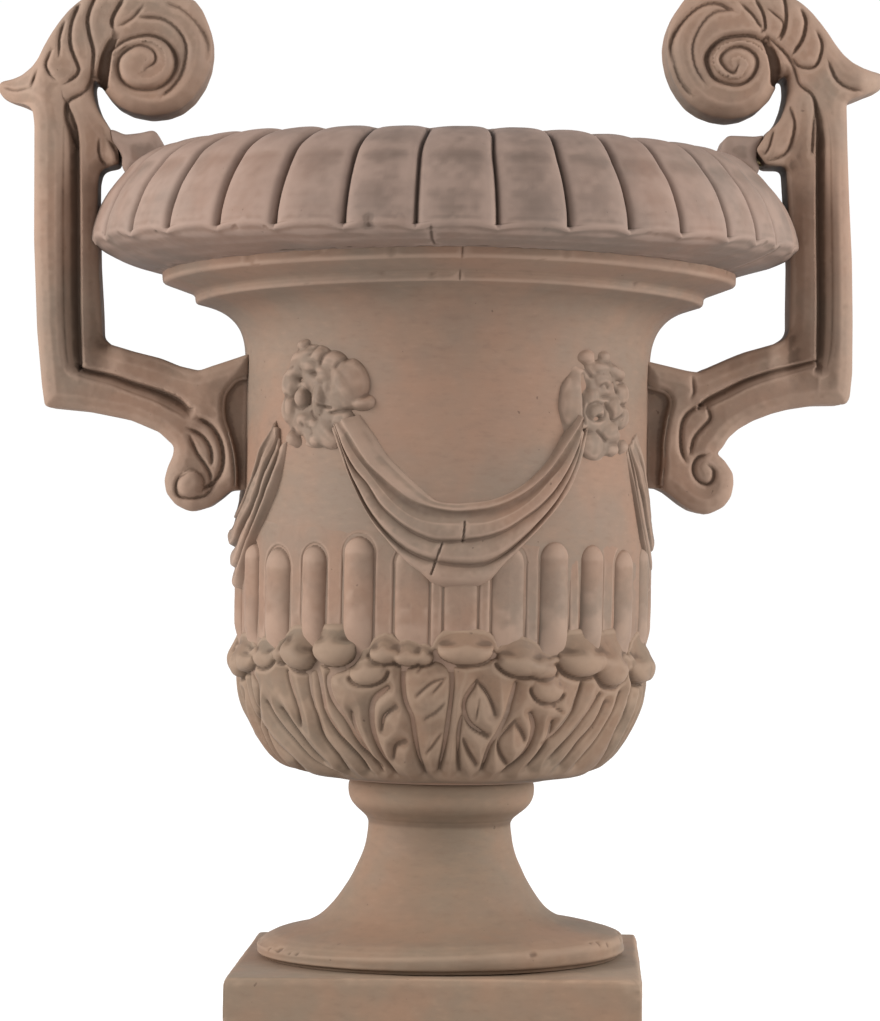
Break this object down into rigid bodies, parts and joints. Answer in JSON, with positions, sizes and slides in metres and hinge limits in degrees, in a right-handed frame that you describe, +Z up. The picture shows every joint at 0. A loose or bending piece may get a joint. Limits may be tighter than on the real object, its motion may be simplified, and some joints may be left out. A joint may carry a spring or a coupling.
{
  "type": "garden urn",
  "caption": "Large bell-shaped garden urn with a gadrooned rim, upright scroll handles, applied swags and rosettes, on a turned foot and a square plinth; the bowl lifts off its foot.",
  "frame": {"origin": "centre of the plinth's underside, on the floor", "axes": "+Z up; the two handles lie along X; the front, with the middle of a swag, faces -Y"},
  "size_m": [0.842, 0.664, 0.98],
  "materials": {
    "plinth_clay": "unglazed, matte, mottled",
    "foot_clay": "unglazed, matte, mottled",
    "bowl_clay": "unglazed, matte, mottled",
    "rim_clay": "unglazed, matte, worn pale on the arrises",
    "handle_clay": "unglazed, matte, darker in the grooves",
    "ornament_clay": "unglazed, matte, worn pale on top",
    "leaf_clay": "unglazed, matte, darker between the leaves",
    "dowel_metal": "dull, unpolished"
  },
  "bodies": {
    "base": {"plinth": "plinth_clay", "foot": "foot_clay"},
    "urn": {"bowl": "bowl_clay", "rim": "rim_clay", "handle_left": "handle_clay", "handle_right": "handle_clay", "rosette_front_left": "ornament_clay", "rosette_front_right": "ornament_clay", "rosette_back_left": "ornament_clay", "rosette_back_right": "ornament_clay", "swag_front": "ornament_clay", "swag_right": "ornament_clay", "swag_back": "ornament_clay", "swag_left": "ornament_clay", "reeds": "ornament_clay", "leaf_cup": "leaf_clay", "handle_dowels": "dowel_metal"}
  },
  "joints": [
    {"name": "bowl_lift", "type": "slide", "parent": "base", "child": "urn", "axis": [0, 0, 1], "range_m": [0, 0.12]}
  ]
}
